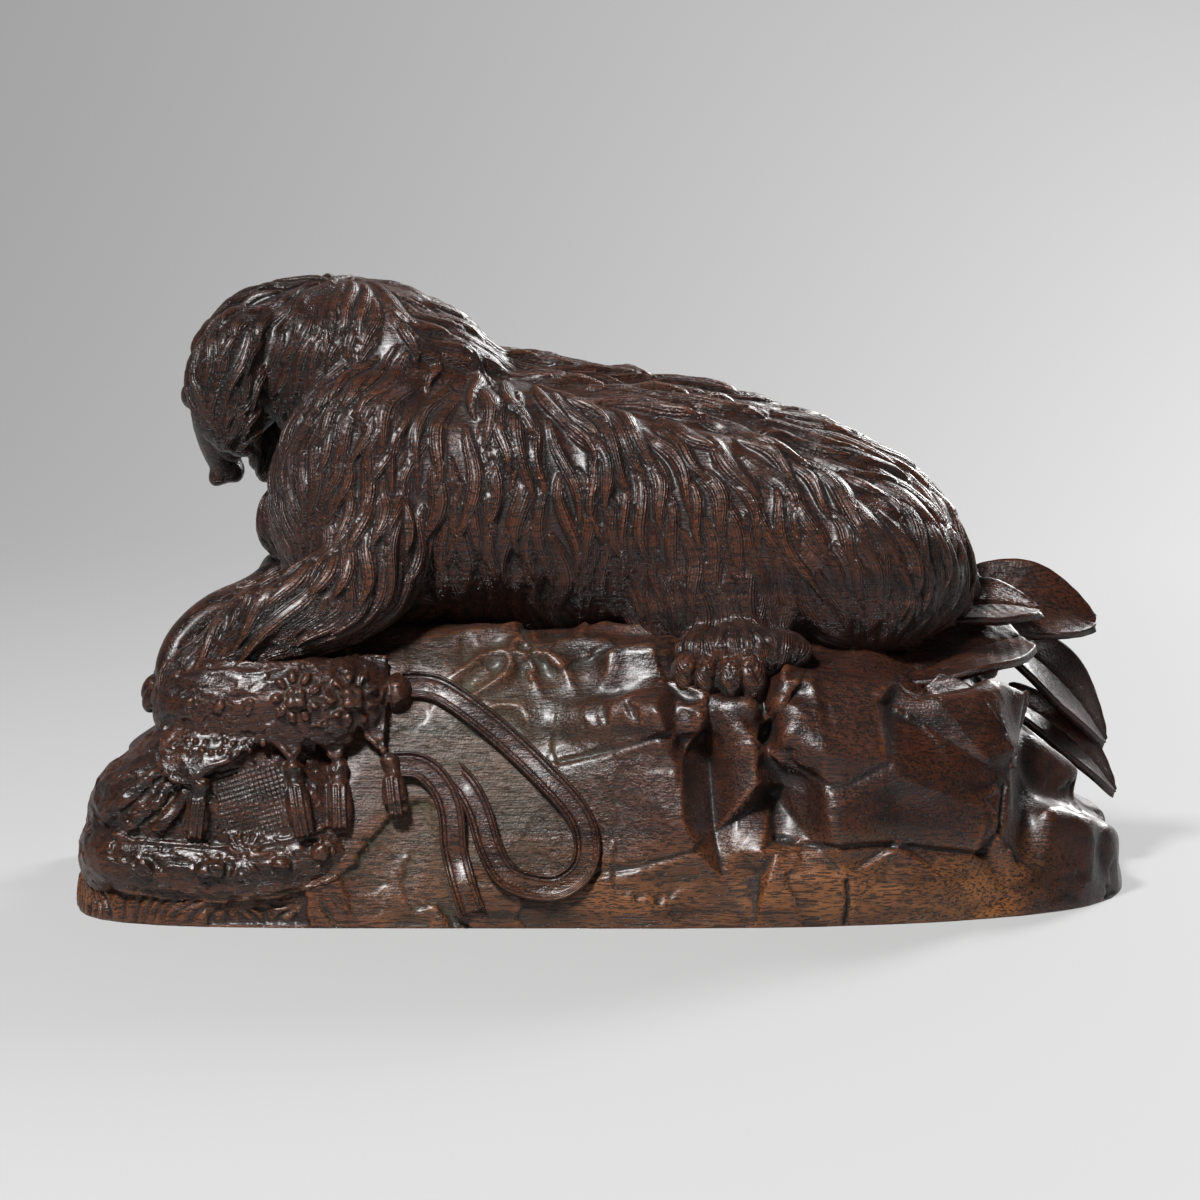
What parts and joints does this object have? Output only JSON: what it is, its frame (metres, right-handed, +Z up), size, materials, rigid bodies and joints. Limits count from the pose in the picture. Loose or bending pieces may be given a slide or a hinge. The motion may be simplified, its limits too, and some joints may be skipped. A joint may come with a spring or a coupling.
{
  "type": "carved wooden dog",
  "caption": "Carved walnut figure group: a long-haired dog lies on a rocky mound, its forelegs over a game bag, with a strap and leaves; stands on a flat underside.",
  "frame": {"origin": "on the ground, under the middle of the block's bounding box", "axes": "+X from the dog's head to its tail, -Y the side with the bag and the strap, +Z up"},
  "size_m": [0.3362, 0.1598, 0.1946],
  "materials": {
    "walnut": "old dark wax polish, worn glossy on the ridges, dust in the hollows"
  },
  "bodies": {
    "root": {"carved_dog": "walnut"}
  },
  "joints": []
}
